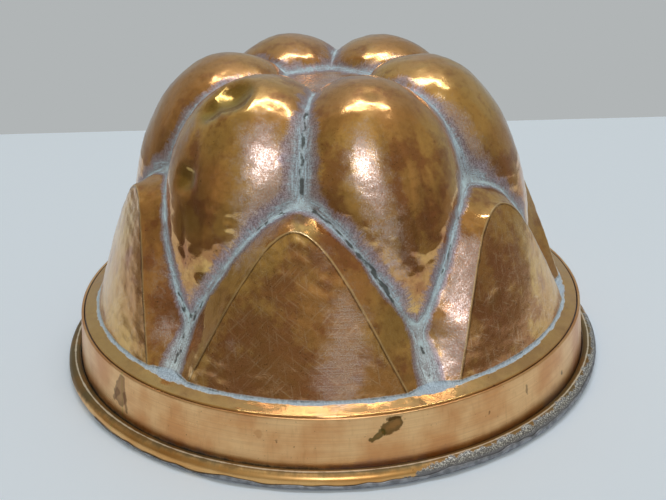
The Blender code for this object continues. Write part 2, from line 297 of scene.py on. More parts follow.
def crown_patches():
    """Grids from the middle of a lobe to the middle of an arch, and the lines they meet along."""
    upper_middle = hump(
        PLATE_SIDE_RADIUS, (LOBE_TOP_RADIUS, LOBE_TOP_HEIGHT), (BELLY_RADIUS, BELLY_HEIGHT),
        belly_turn(ARCH_PEAK_HEIGHT),
    )
    upper_edge = hump(
        PLATE_CORNER_RADIUS, (SADDLE_RADIUS, SADDLE_HEIGHT),
        (ARCH_PEAK_RADIUS, ARCH_PEAK_HEIGHT), 90,
    )
    upper = bulge(spot(HALF_PITCH, *upper_middle.T), spot(0, *upper_edge.T))
    hub = np.array([0, 0, PLATE_HEIGHT])
    plate = hub + (upper[0] - hub) * closing(PLATE_STEPS, EDGE_CROWDING)[:, None, None]

    tip = np.sqrt((ARCH_PEAK_HEIGHT - TIP_HEIGHT) / (ARCH_PEAK_HEIGHT - FOOT_HEIGHT))
    down = np.concatenate([
        [0], np.linspace(FIRST_STEP, tip, LOWER_STEPS),
        tip + (1 - tip) * closing(VALLEY_STEPS, EDGE_CROWDING)[1:],
    ])
    crease_height = ARCH_PEAK_HEIGHT - (ARCH_PEAK_HEIGHT - FOOT_HEIGHT) * down**2
    crease = crease_line(crease_height)
    beside_lobe = crease_height[: LOWER_STEPS + 1]
    lower = bulge(
        spot(HALF_PITCH, lobe_middle(beside_lobe), beside_lobe), crease[: LOWER_STEPS + 1]
    )

    ridge_angle = FACE_FOOT_ANGLE * bowed(RIDGE_ROUNDNESS, RIDGE_POWER, down**2)
    ridge_radius = RIDGE_PEAK_RADIUS + FACE_LEAN * down**2
    ridge_height = RIDGE_PEAK_HEIGHT - (RIDGE_PEAK_HEIGHT - FOOT_HEIGHT) * down**2
    ridge = spot(ridge_angle, ridge_radius, ridge_height)
    side = crease[:, None] + (ridge - crease)[:, None] * eased(SIDE_STEPS)[:, None]
    width = np.maximum(ridge_radius * np.radians(ridge_angle), FIRST_COLUMN)
    power = np.clip(np.log(width / FIRST_COLUMN) / np.log(FACE_STEPS), 1, 2)
    across = 1 - np.linspace(0, 1, FACE_STEPS + 1) ** power[:, None]
    face = spot(ridge_angle[:, None] * across, ridge_radius[:, None], ridge_height[:, None])
    # the edge itself is drawn part of the way to the chord across it
    blunt = ridge + EDGE_BLUNT * ((side[:, -2] + face[:, 1]) / 2 - ridge)
    side[:, -1] = blunt
    face[:, 0] = blunt
    face[0] = blunt[0]

    foot = np.concatenate([side[-1], face[-1, 1:]])
    foot_angles = np.degrees(np.arctan2(foot[:, 0], -foot[:, 1]))
    shoulder = oval(
        (LEDGE_RADIUS - LEDGE_ROUND, COLLAR_HEIGHT - LEDGE_ROUND / 2), LEDGE_ROUND, LEDGE_ROUND,
        np.linspace(0, 90, SHOULDER_STEPS + 1),
    )
    flange_foot = np.array([
        LEDGE_RADIUS + (COLLAR_HEIGHT - LEDGE_ROUND - FLANGE_FOOT_HEIGHT) * np.tan(LEAN),
        FLANGE_FOOT_HEIGHT,
    ])
    flange = shoulder[-1] + (flange_foot - shoulder[-1]) * np.linspace(
        0, 1, FLANGE_STEPS + 1)[1:, None]
    rows = np.stack([spot(foot_angles, *pair) for pair in [*shoulder, *flange]])
    share = (np.linspace(0, 1, LEDGE_STEPS + 1) ** EDGE_CROWDING)[:, None, None]
    across_ledge = foot + (rows[0] - foot) * share
    ledge = np.concatenate([across_ledge, rows[1:]])

    patches = {
        "plate": plate, "upper": upper, "lower": lower, "side": side, "face": face, "ledge": ledge
    }
    return patches, {"crease": [upper[:, -1], upper[0], crease], "foot": foot, "ridge": ridge}


def grid_faces(rows, columns, start, flip):
    """Corner numbers of the quads between the points of a grid."""
    first = start + np.arange(rows - 1)[:, None] * columns + np.arange(columns - 1)
    quads = np.stack([first, first + columns, first + columns + 1, first + 1], axis=-1)
    quads = quads.reshape(-1, 4)
    return quads[:, ::-1] if flip else quads


def read(items, what, width=1, kind=float):
    """A value, or a row of them, from each of a mesh's points, corners, edges, faces or marks."""
    values = np.empty(len(items) * width, kind)
    items.foreach_get(what, values)
    return values.reshape(-1, width) if width > 1 else values


def set_mark(mesh, mark, values):
    """Stores a named value for each point."""
    mesh.attributes.new(mark, "FLOAT", "POINT").data.foreach_set("value", values)


def new_mesh(name, points, corners, sizes=None, marks=None):
    """A mesh from points in millimetres, the points at its faces' corners, the faces' numbers of
    corners (4 if not given) and named values for each point."""
    sizes = np.full(len(corners) // 4, 4) if sizes is None else sizes
    mesh = bpy.data.meshes.new(name)
    mesh.vertices.add(len(points))
    mesh.vertices.foreach_set("co", (points * MM).ravel())
    mesh.loops.add(len(corners))
    mesh.loops.foreach_set("vertex_index", corners)
    mesh.polygons.add(len(sizes))
    mesh.polygons.foreach_set("loop_start", np.cumsum(sizes) - sizes)
    for mark, values in (marks or {}).items():
        set_mark(mesh, mark, values)
    mesh.update(calc_edges=True)
    return mesh


def merge(mesh):
    """Joins the points that patches share, which also closes the poles."""
    bm = bmesh.new()
    bm.from_mesh(mesh)
    bmesh.ops.remove_doubles(bm, verts=bm.verts, dist=MERGE_WITHIN * MM)
    bm.to_mesh(mesh)
    bm.free()


def soften(points, edges, amount, rounds):
    """Moves each point a share of the way to the mean of its neighbours, again and again."""
    ends = edges.ravel()
    others = edges[:, ::-1].ravel()
    count = np.bincount(ends, minlength=len(points))
    for _ in range(rounds):
        mean = np.stack([
            np.bincount(ends, weights=points[others, k], minlength=len(points)) for k in range(3)
        ], axis=-1) / count[:, None]
        points = points + amount[:, None] * (mean - points)
    return points


SHARP_ANGLE = 60.0


def piece(name, mesh, materials, node):
    """Adds a mesh as a smooth piece that rides on the mould and stands for a CAD node."""
    mesh.shade_smooth()
    if node != "crown_shell":
        mesh.set_sharp_from_angle(angle=np.radians(SHARP_ANGLE))
    for material in materials:
        mesh.materials.append(material)
    made = put(name, mesh)
    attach(made, "root")
    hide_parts(node)


# Hand work on the crown. A place is a centre, its reach, and the depth or amount in its middle.
SOFT_CREASE, SOFT_CREASE_ROUNDS, SOFT_SHARE = 1.6, 26, 0.5
NORMAL_CELL = 2.2
# Unevenness of the sheet: depth, length and seed, and the factor on heights that draws it upwards
SWELLS = [(0.16, 15.0, 3, 1), (0.05, 8.0, 5, 0.15), (0.12, 4.5, 4, 1)]
HAMMER_MARKS, HAMMER_REACH, HAMMER_DEPTH, HAMMER_SEED = 240, (5.0, 9.0), (0.03, 0.1), 8
DENTS = [
    ((-23.4, -36.6, 101.6), 7.8, 3.8), ((-29.3, -38.8, 97.4), 5.6, 2.4),
    ((-36.6, -49.4, 78.6), 5, 2.3), ((-30.8, -61.5, 53.1), 2.6, 0.7), ((-35, -56.1, 67.7), 6, 0.5),
    ((57.2, -50.1, 41.3), 3, 0.4), ((58.4, -47.6, 42.6), 2.6, 0.35),
    ((19.7, -37.1, 102.4), 3.4, 0.45), ((42.2, -0.4, 102.2), 2.6, 0.3),
]
FOLD_END = 9
# Shallow grooves where the sheet has been pushed in: points along one, half width and depth
FOLDS = [
    ([(-32.4, -40.8, 94), (-33, -46.9, 86.8), (-33.4, -53.4, 76.5), (-32.5, -57.8, 65.4)],
     2.3, 0.75),
    ([(29.3, -38.6, 97.8), (33.9, -45.6, 87.8), (37.3, -51.2, 74.3), (39.5, -54.5, 59.7)],
     2.4, 0.65),
    ([(26.3, -45.9, 93.9), (28.7, -53.7, 81.3), (30.8, -58.4, 67.6), (33.4, -60.5, 52.5)],
     2.2, 0.45),
    ([(-37.4, -49.8, 74.9), (-36.8, -54.3, 66.9), (-36.4, -57.5, 58.4), (-36.5, -58.8, 48.9)],
     1.5, 0.5),
]
# Parts of arches that stand a little off: centre, reach and shift
SHIFTS = [
    ((57.7, -33.3, 70.5), 11, (0.8, 1.8, -4)),
    ((-57.7, -33.3, 70.5), 11, (-0.8, 1.8, -1.2)),
    ((47, -58.8, 37.5), 9, (0, -0.8, 0.4)),
]
# Where hand polishing has left the copper scratched and pink; their pale colour is partly painted
# highlight
WORN_AND_HIGHLIGHTS = [
    ((-15, -62, 64), 7, 0.5), ((13, -80, 26.5), 6, 0.9), ((-12.5, -49, 93.5), 6.5, 0.7),
    ((-11.3, -53, 87.8), 8, 0.85), ((-9.8, -56.8, 78.4), 8.5, 0.85), ((-11, -59.3, 69.2), 8, 0.8),
    ((-17.1, -64.9, 58.5), 5, 0.5), ((18.5, -50, 92), 6, 0.7), ((19, -54, 84.5), 6.5, 0.9),
    ((22.5, -56.5, 77), 6.5, 0.9), ((26, -59, 68), 6.5, 0.8), ((30, -61.5, 58), 6, 0.6),
    ((40.5, -22.5, 91), 7, 0.8), ((44.2, -24.3, 85.6), 8, 0.9), ((49.1, -24.3, 78.1), 7, 0.8),
    ((55.2, -21.5, 73), 6, 0.7), ((14.5, -72, 50), 6, 0.7), ((16, -74, 42), 7, 0.8),
    ((14.5, -78.5, 31), 8, 1.05), ((8, -67, 62), 7, 0.4), ((50.7, -47.4, 57), 7, 1),
    ((48.5, -53.5, 46.6), 8, 1.3), ((47, -61, 33.3), 8.5, 1), ((45.5, -65.5, 26), 5, 0.9),
    ((-18.6, -75.6, 36.5), 2.5, 0.9), ((-44, -53.7, 49.6), 7, 0.6), ((-42.3, -61.6, 32.6), 8, 0.7),
    ((-37.5, -38.7, 90), 6, 0.5), ((0, 0, 95.5), 18, 0.8),
]
# Where a red-brown film has been left
BROWNED = [
    ((8.5, -58.5, 74.5), 8, 0.9), ((6.5, -54, 85), 7, 0.7), ((13, -60.5, 66), 7, 0.6),
    ((34, -59, 55), 9, 0.8), ((-27, -60.5, 62), 9, 0.4), ((-12, -72, 46), 14, 0.5),
    ((-4, -80, 28), 14, 1.1), ((-18, -79, 27), 8, 0.9), ((12, -79, 27), 12, 0.5),
    ((3, -70, 58), 9, 0.6), ((62, -47, 38), 16, 0.8), ((67, -42, 44), 14, 0.6),
    ((58, -58, 28), 12, 0.7), ((-42, -59, 38), 8, 0.8), ((-46, -48, 56), 8, 0.6),
    ((0, 0, 95.5), 18, 0.5), ((60, -15, 72), 6.5, 1.4),
]
# Where polish has dried in a broad band rather than a line
SILTED = [
    ((0, -43, 94), 7, 0.25), ((0, -49.5, 86.5), 8, 0.7), ((0, -54.5, 75), 8, 0.9),
    ((47.2, -29.1, 76), 7, 0.7), ((53, -24, 73.5), 6, 0.5), ((-50.5, -24.6, 74.5), 7, 0.7),
    ((-41, -34, 86), 6, 0.3), ((41, -43.8, 60), 7, 0.3), ((40, -52.5, 50), 7, 0.3),
    ((-41, -43.8, 60), 7, 0.25), ((-40, -52.5, 50), 7, 0.2), ((14, -60, 67), 6, 0.4),
    ((25, -63, 52), 6, 0.35), ((-26, -63.5, 48), 6, 0.3),
]
CRACK_WANDER, CRACK_LENGTH, CRACK_SEED, CRACK_POINTS = 0.3, 6, 31, 12
CRACK_FADE = 1.5  # half widths from its middle to where a crack is gone
# Cracks full of black dirt: arch, side of it (0 is the crease over it), top, bottom, half width
CRACKS = [
    (0, 0, 97, 74, 0.55), (0, 0, 79, 75, 0.62), (0, 1, 72, 62, 0.35), (0, 1, 61.5, 54, 0.54),
    (0, 1, 53.5, 44, 0.45), (0, 1, 25.6, 24, 0.5), (0, -1, 72, 62, 0.18), (0, -1, 48, 30, 0.18),
    (-1, 1, 52, 30, 0.2), (1, -1, 66, 50, 0.2), (0, 1, 31.5, 28.5, 0.24), (0, -1, 29, 24.5, 0.3),
]


def marks_of(name, patch, lines):
    """Signed distances from a patch's points to the lines, and how far along a crease they lie.
    The lobes' side of a crease is above 0 and the arches' side below; so is the wall's side of the
    foot and the ledge's."""
    points = patch.reshape(-1, 3)
    found = [nearest_on(points, line) for line in lines["crease"]]
    away = np.stack([distance for distance, _ in found])
    passed = np.stack([along + LINE_APART * k for k, (_, along) in enumerate(found)])
    best = away.argmin(axis=0)[None]
    crease = np.take_along_axis(away, best, 0)[0]
    foot = nearest_on(points, lines["foot"])[0]
    return {
        "crease": crease * (-1 if name in ("side", "face", "ledge") else 1),
        "along": np.take_along_axis(passed, best, 0)[0],
        "foot": foot * (-1 if name == "ledge" else 1),
        "ridge": nearest_on(points, lines["ridge"])[0],
        "flat": np.full(len(points), float(name == "face")),
    }


def pressed(points, dents):
    """Depth of the deepest dent at each point: each is a shallow bowl with a crisp rim."""
    depth = np.zeros(len(points))
    for centre, reach, most in dents:
        bowl = 1 - ((points - np.array(centre)) ** 2).sum(axis=-1) / reach**2
        depth = np.maximum(depth, most * bowl)
    return depth


def cracked(points, over_arch):
    """1 in the middle of a black crack, falling to 0 past its half width."""
    found = np.zeros(len(points))
    for arch, side, top, bottom, half in CRACKS:
        if side:
            line = crease_line(np.linspace(top, bottom, CRACK_POINTS)) * [side, 1, 1]
        else:
            line = over_arch[(over_arch[:, 2] < top) & (over_arch[:, 2] > bottom)]
        line = line @ turned(2 * HALF_PITCH * arch).T
        wander = [waves(line, CRACK_LENGTH, CRACK_SEED + k) for k in range(3)]
        line = line + CRACK_WANDER * np.stack(wander, axis=-1)
        away = nearest_on(points, line)[0]
        found = np.maximum(found, np.clip(CRACK_FADE - away / half, 0, 1))
    return found


def spread(points, values, cell):
    """A steady average of values near each point: they are shared out to a grid of cells by
    quadratic splines in each direction, and read back by the same shares."""
    at = (points - points.min(axis=0)) / cell + 2
    base = np.round(at).astype(int)
    off = at - base
    share = np.stack([0.5 * (0.5 - off) ** 2, 0.75 - off**2, 0.5 * (0.5 + off) ** 2])
    size = base.max(axis=0) + 2
    taps = []
    for i, j, k in np.ndindex(3, 3, 3):
        index = base + [i - 1, j - 1, k - 1]
        index = (index[:, 0] * size[1] + index[:, 1]) * size[2] + index[:, 2]
        taps.append((index, share[i, :, 0] * share[j, :, 1] * share[k, :, 2]))
    columns = []
    for value in values.T:
        grid = sum(np.bincount(index, weight * value, size.prod()) for index, weight in taps)
        columns.append(sum(weight * grid[index] for index, weight in taps))
    return np.stack(columns, axis=-1)


def corners_of(mesh):
    """The points at the faces' corners, and each face's first corner and number of corners."""
    corners = read(mesh.loops, "vertex_index", kind=np.int32).astype(np.int64)
    starts, sizes = (
        read(mesh.polygons, what, kind=np.int32) for what in ("loop_start", "loop_total")
    )
    return corners, starts, sizes


def steady_normals(mesh, points):
    """Normals averaged over a few millimetres: points moved along them never cross at an edge."""
    corners, _, sizes = corners_of(mesh)
    area = np.repeat(read(mesh.polygons, "area") / sizes, sizes)
    area = np.bincount(corners, area, len(points))[:, None]
    normals = spread(points, read(mesh.vertices, "normal", 3) * area, NORMAL_CELL)
    return normals / np.linalg.norm(normals, axis=1, keepdims=True)


def thickened(mesh, points, normals):
    """A closed sheet: the outer surface, the same surface set in by the sheet's thickness and
    turned round, and a rim of quads between their open edges."""
    count = len(points)
    corners, starts, sizes = corners_of(mesh)
    first = np.repeat(starts, sizes)
    last = first + np.repeat(sizes, sizes) - 1
    place = np.arange(len(corners))
    following = corners[np.where(place == last, first, place + 1)]
    inner = corners[first + last - place] + count
    rim = ~np.isin(corners * count + following, following * count + corners)
    here, there = corners[rim], following[rim]
    quads = np.stack([there, here, here + count, there + count], axis=-1).ravel()
    made = new_mesh(
        mesh.name, np.concatenate([points, points - SHEET * normals]),
        np.concatenate([corners, inner, quads]),
        np.concatenate([sizes, sizes, np.full(rim.sum(), 4)]),
        {mark: np.tile(read(mesh.attributes[mark].data, "value"), 2) for mark in MARKS},
    )
    lining = np.arange(len(made.polygons)) >= len(starts)
    made.polygons.foreach_set("material_index", lining.astype(np.int32))
    made.validate()
    return made


MARKS = "crease along foot ridge flat worn silt valley fill crack dent brown".split()
# Where marks start, and the width in which they reach 1: hand work by height, the right arch's
# brown face by angle, the ledge by height, and its outer part and its inner corner by radius
WORKED = (COLLAR_HEIGHT, 1.5)
BROWN_FACE = (27, 4)
ON_LEDGE = (23.2, -0.8)
LEDGE_OUTSIDE = (82.8, 1.2)
LEDGE_CORNER = (83.5, -0.6)
# Dried polish in the valleys between arches: half width, radius at which that is measured, height
# over which it fades, and how far above 1 it starts
VALLEY_WIDTH, VALLEY_RADIUS, VALLEY_RISE, VALLEY_START = 5.5, 80, 15, 1.3


def climb(values, start, width):
    """0 up to a start and 1 from a width further on; a width below 0 runs the other way."""
    return np.clip((values - start) / width, 0, 1)


def crown():
    """The raised sheet, from half a lobe and half an arch mirrored and turned six times."""
    patches, lines = crown_patches()
    points, faces, marks = [], [], []
    start = 0
    for name, patch in patches.items():
        flat = patch.reshape(-1, 3)
        marks += [marks_of(name, patch, lines)] * (2 * LOBES)
        for k in range(LOBES):
            for mirror in (1, -1):
                points.append(flat * [mirror, 1, 1] @ turned(2 * HALF_PITCH * k).T)
                faces.append(grid_faces(*patch.shape[:2], start, mirror > 0))
                start += len(flat)
    marks = {mark: np.concatenate([some[mark] for some in marks]) for mark in marks[0]}
    mesh = new_mesh("crown", np.concatenate(points), np.concatenate(faces).ravel(), marks=marks)
    merge(mesh)

    points = read(mesh.vertices, "co", 3) / MM
    set_mark(mesh, "crack", cracked(points, lines["crease"][0]))
    # dent depth is also a mark, which the material tints olive as a painted reflection
    set_mark(mesh, "dent", np.clip(pressed(points, DENTS), 0, 1))
    crease, face = (read(mesh.attributes[mark].data, "value") for mark in ("crease", "flat"))
    amount = SOFT_SHARE * climb(points[:, 2], *WORKED) * np.exp(-((crease / SOFT_CREASE) ** 2))
    edges = read(mesh.edges, "vertices", 2, np.int32)
    points = soften(points, edges, amount, SOFT_CREASE_ROUNDS)
    for centre, reach, shift in SHIFTS:
        points = points + bell(points, centre, reach)[:, None] * np.array(shift)
    mesh.vertices.foreach_set("co", (points * MM).ravel())
    mesh.update()

    draw = np.random.default_rng(HAMMER_SEED)
    hammered = points[draw.choice(np.flatnonzero(points[:, 2] > TIP_HEIGHT), HAMMER_MARKS)]
    hammering = zip(
        hammered, draw.uniform(*HAMMER_REACH, HAMMER_MARKS),
        draw.uniform(*HAMMER_DEPTH, HAMMER_MARKS),
    )
    inwards = sum(
        depth * (1 + waves(points * [1, 1, rise], length, seed)) / 2
        for depth, length, seed, rise in SWELLS
    )
    inwards = inwards + pressed(points, hammering) + pressed(points, DENTS)
    fold_shade = np.zeros(len(points))
    for path, reach, depth in FOLDS:
        away, passed = nearest_on(points, np.array(path))
        ends = climb(np.minimum(passed, passed.max() - passed), 0, FOLD_END)
        fold = ends * np.exp(-((away / reach) ** 2))
        inwards = inwards + depth * fold
        fold_shade = np.maximum(fold_shade, fold)
    inwards = inwards * climb(points[:, 2], *WORKED)
    normals = steady_normals(mesh, points)
    points = points - inwards[:, None] * normals

    angle = np.degrees(np.arctan2(points[:, 0], -points[:, 1]))
    radius = np.hypot(points[:, 0], points[:, 1])
    height = points[:, 2]
    worn, silt, brown = (
        sum(amount * bell(points, centre, reach) for centre, reach, amount in places)
        for places in (WORN_AND_HIGHLIGHTS, SILTED, BROWNED)
    )
    # the right arch's face kept its brown while its wall was rubbed
    worn = worn * (1 - face * climb(angle, *BROWN_FACE))
    on_ledge = climb(height, *ON_LEDGE)
    off_valley = np.abs((angle + 180) % (2 * HALF_PITCH) - HALF_PITCH) * np.pi / 180 * VALLEY_RADIUS
    valley = (1 - on_ledge * climb(radius, *LEDGE_OUTSIDE)) * np.exp(
        -((off_valley / VALLEY_WIDTH) ** 2)
    ) * np.clip(VALLEY_START - (height - FOOT_HEIGHT) / VALLEY_RISE, 0, 1)
    # the folds go into the brown mark, which darkens their grooves as painted shade
    for mark, values in (
        ("worn", worn), ("silt", silt), ("brown", brown + fold_shade), ("valley", valley),
        ("fill", on_ledge * climb(radius, *LEDGE_CORNER)),
    ):
        set_mark(mesh, mark, values)
    return thickened(mesh, points, normals)


# Collar, rim and solder

ROUND_STEPS = 240
WALL_STEPS = 16
CURL_STEPS = 44
RUN_STEPS = 300
RUN_ARC_STEPS = 14
SEAM_STEPS = 4
SEAM_GAP = 0.02
# Unevenness of the strip: depth, length and seed, and how much less of it there is at the top
WOBBLES = [(0.12, 38.0, 11), (0.05, 9.0, 12)]
WOBBLE_LESS = 0.6
# Share of the thickness left at the strip's top and at its raw edge
TOP_THIN, RAW_THIN = 0.7, 0.6
RAW_EDGE = (0.6, 1, 1)  # how much three neighbouring points belong to the strip's raw edge
# Round the bead, 0 facing out: the groove and its depth, the wall, and what lies under the wall
GROOVE_TURN, GROOVE_DEPTH, WALL_TURN, BELOW_WALL = 140, 0.2, 200, -100
# The tin run: its gap to the bead; waves of its upper edge and of its surface, as size, length and
# seed; its thickness in the middle, its least swell and its thickness at the edges
RUN_GAP = 0.04
RUN_EDGE = [(7, 7.0, 21), (8, 26.0, 22)]
RUN_LUMPS = [(0.03, 12.0, 23), (0.02, 2.0, 24)]
RUN_THICK, RUN_SWELL, RUN_THIN = 0.36, 0.05, 0.1
RUN_POWER, RUN_ENDS = 0.6, (0.001, 0.999)


def collar_section():
    """Outline of the strip: a straight wall that curls under, round and over the wire."""
    touch = 180 + np.degrees(LEAN)
    short_of_wall = np.degrees(np.arccos(WIRE_RADIUS / BEAD_RADIUS))
    turn = np.radians(np.linspace(touch, touch + 360 - short_of_wall, CURL_STEPS + 1))
    outwards = np.stack([np.cos(turn), np.sin(turn)], axis=-1)
    curl = BEAD_CENTRE + outwards * CURL_RADIUS
    top = np.array([COLLAR_TOP_RADIUS, COLLAR_HEIGHT])
    wall = top + (curl[0] - top) * eased(WALL_STEPS)[:-1, None]
    middle = np.concatenate([wall, curl])
    outwards = np.concatenate([np.repeat(outwards[:1], WALL_STEPS, axis=0), outwards])
    half = np.full((len(middle), 1), SHEET / 2)
    half[0] *= TOP_THIN
    half[-1] *= RAW_THIN
    outline = np.concatenate([middle + outwards * half, (middle - outwards * half)[::-1]])
    outline[:, 1] = np.maximum(outline[:, 1], 0)
    return outline


def swept(name, sections, angles, marks=None):
    """A solid whose section at each angle is a closed outline, with a cap at both ends."""
    points = spot(angles[:, None], sections[..., 0], sections[..., 1])
    rings, around = points.shape[:2]
    ring = np.arange(rings - 1)[:, None] * around
    place = np.arange(around)
    beside = (place - 1) % around
    after = ring + around
    quads = np.stack([ring + beside, ring + place, after + place, after + beside], axis=-1)
    mesh = new_mesh(name, points.reshape(-1, 3), quads.ravel(), marks=marks)
    bm = bmesh.new()
    bm.from_mesh(mesh)
    bm.verts.ensure_lookup_table()
    bm.faces.new(bm.verts[:around])
    bm.faces.new(bm.verts[-around:])
    bmesh.ops.recalc_face_normals(bm, faces=bm.faces)
    bm.to_mesh(mesh)
    bm.free()
    return mesh


def wobbled(section, angles):
    """The section at each angle, pushed inwards a little by hand work, more at the bead."""
    ring = spot(angles[:, None], section[:, 0], section[:, 1])
    share = 1 - section[:, 1] / COLLAR_HEIGHT * WOBBLE_LESS
    push = sum(
        depth * (1 + waves(ring, length, seed)) / 2 * share for depth, length, seed in WOBBLES
    )
    sections = np.repeat(section[None], len(angles), axis=0)
    sections[..., 0] -= push
    return sections


def collar_marks(section, count):
    """For each point of the strip: its distance to the groove over the bead, how much it is on the
    raw edge, how far round the bead it is, where 0 faces out and 90 up, and if it is inside."""
    groove = np.radians(GROOVE_TURN)
    groove = BEAD_CENTRE + (BEAD_RADIUS - GROOVE_DEPTH) * np.array([np.cos(groove), np.sin(groove)])
    near = np.linalg.norm(section - groove, axis=1)
    edge = np.zeros(len(section))
    middle = len(section) // 2
    edge[[middle - 2, middle - 1, middle]] = RAW_EDGE
    turn = np.degrees(np.arctan2(*(section - BEAD_CENTRE).T[::-1]))
    turn = np.where(turn < BELOW_WALL, WALL_TURN, turn)
    turn[:WALL_STEPS] = turn[-WALL_STEPS:] = WALL_TURN
    inside = ((turn == WALL_TURN) & (np.arange(len(section)) < middle)).astype(float)
    inside[0] = 0
    marks = {"groove": near, "raw": edge, "round": turn, "inside": inside}
    return {mark: np.tile(values, count) for mark, values in marks.items()}


def collar():
    """The copper strip, an open ring, and the line of braze that joins its two ends."""
    section = collar_section()
    half_seam, half_slot = (
        np.degrees((SEAM_WIDTH / 2 + gap) / COLLAR_TOP_RADIUS) for gap in (0, SEAM_GAP)
    )
    around = SEAM_ANGLE + np.linspace(half_slot, 360 - half_slot, ROUND_STEPS + 1)
    seam = SEAM_ANGLE + np.linspace(-half_seam, half_seam, SEAM_STEPS + 1)
    return [
        swept(name, wobbled(section, angles), angles, collar_marks(section, len(angles)))
        for name, angles in (("collar", around), ("braze", seam))
    ]


def tin_run():
    """The lumpy run of tin on the bead: its thickness is a sine across it, swelled by waves."""
    seat = BEAD_RADIUS + RUN_GAP
    angles = np.linspace(RUN_START, RUN_END, RUN_STEPS + 1)
    along = (angles - RUN_START) / (RUN_END - RUN_START)
    edge = spot(angles, BEAD_CENTRE[0] + BEAD_RADIUS, BEAD_HEIGHT)
    high = RUN_HIGH_START + (RUN_HIGH_END - RUN_HIGH_START) * along
    for size, length, seed in RUN_EDGE:
        high = high + size * waves(edge, length, seed)
    share = np.linspace(0, 1, RUN_ARC_STEPS + 1)
    turn = np.radians(RUN_LOW + (high[:, None] - RUN_LOW) * share)
    outwards = np.stack([np.cos(turn), np.sin(turn)], axis=-1)
    surface = spot(angles[:, None], *np.moveaxis(BEAD_CENTRE + BEAD_RADIUS * outwards, -1, 0))
    lumps = sum(size * waves(surface, length, seed) for size, length, seed in RUN_LUMPS)
    swell = (RUN_THICK + lumps) * np.sqrt(np.sin(np.pi * np.clip(along, *RUN_ENDS)))[:, None]
    thick = RUN_THIN + np.maximum(swell, RUN_SWELL) * np.sin(np.pi * share) ** RUN_POWER
    inner = BEAD_CENTRE + outwards * seat
    outer = BEAD_CENTRE + outwards * (seat + thick)[..., None]
    sections = np.concatenate([inner, outer[:, ::-1]], axis=1)
    sections[..., 1] = np.maximum(sections[..., 1], 0)
    return swept("tin", sections, angles)


# Materials

# Kinds of node with their settings. RAMP and SMOOTH run from 0 to 1 where no ends are given.
TIMES, PLUS, MINUS, TIMES_PLUS, LARGER, SIZE, ARCTAN, ARCCOS, WRAP = (
    ("Math", {"operation": name}) for name in (
        "MULTIPLY", "ADD", "SUBTRACT", "MULTIPLY_ADD", "MAXIMUM", "ABSOLUTE", "ARCTAN2",
        "ARCCOSINE", "WRAP",
    )
)
TIMES_CLIPPED, MINUS_CLIPPED = (
    ("Math", {"operation": name, "use_clamp": True}) for name in ("MULTIPLY", "SUBTRACT")
)
SCALED, DOT, APART, FROM = (
    ("VectorMath", {"operation": name}) for name in ("SCALE", "DOT_PRODUCT", "DISTANCE", "SUBTRACT")
)
NOISE, MIX, RAMP, MAPPING, BUMP, SPLIT, JOIN, COORDINATES, LIGHT_PATH, COLOUR_RAMP = (
    (name, {}) for name in (
        "TexNoise", "Mix", "MapRange", "Mapping", "Bump", "SeparateXYZ", "CombineXYZ", "TexCoord",
        "LightPath", "ValToRGB",
    )
)
BLEND = ("Mix", {"data_type": "RGBA"})
SMOOTH = ("MapRange", {"interpolation_type": "SMOOTHSTEP"})
STRETCH = ("Mapping", {"vector_type": "TEXTURE"})


def linear(code):
    """An sRGB hex colour as linear red, green, blue and 1."""
    part = np.array([int(code[k:k + 2], 16) for k in (1, 3, 5)]) / 255
    part = np.where(part <= 0.04045, part / 12.92, ((part + 0.055) / 1.055) ** 2.4)
    return (*part.tolist(), 1)


def feed(socket, value):
    """Links an input to a node's output, or sets it; a hex colour turns linear, None leaves it."""
    if isinstance(value, bpy.types.NodeSocket):
        socket.id_data.links.new(value, socket)
    elif value is not None:
        socket.default_value = linear(value) if isinstance(value, str) else value


def add_node(tree, kind, *values, out=0, **named):
    """Adds a node of a kind with its settings, feeds the inputs it uses in turn or by name, and
    returns one of its outputs."""
    node = tree.nodes.new("ShaderNode" + kind[0])
    for name, value in kind[1].items():
        setattr(node, name, value)
    for socket, value in zip([socket for socket in node.inputs if socket.enabled], values):
        feed(socket, value)
    for name, value in named.items():
        feed(node.inputs[name], value)
    return [socket for socket in node.outputs if socket.enabled][out]


def start_material(name, marks=()):
    """A new material, what adds a node to it, the point on the object in millimetres, and the
    values of the mesh's marks."""
    material = bpy.data.materials.new(name)
    material.use_nodes = True
    add = partial(add_node, material.node_tree)
    place = add(SCALED, add(COORDINATES, out=3), 1 / MM)
    marks = [add(("Attribute", {"attribute_name": mark}), out=2) for mark in marks]
    return material, add, place, *marks


def finished(material, surface):
    """The material, with inputs of its shader linked or set."""
    for name, value in surface.items():
        feed(material.node_tree.nodes["Principled BSDF"].inputs[name], value)
    return material


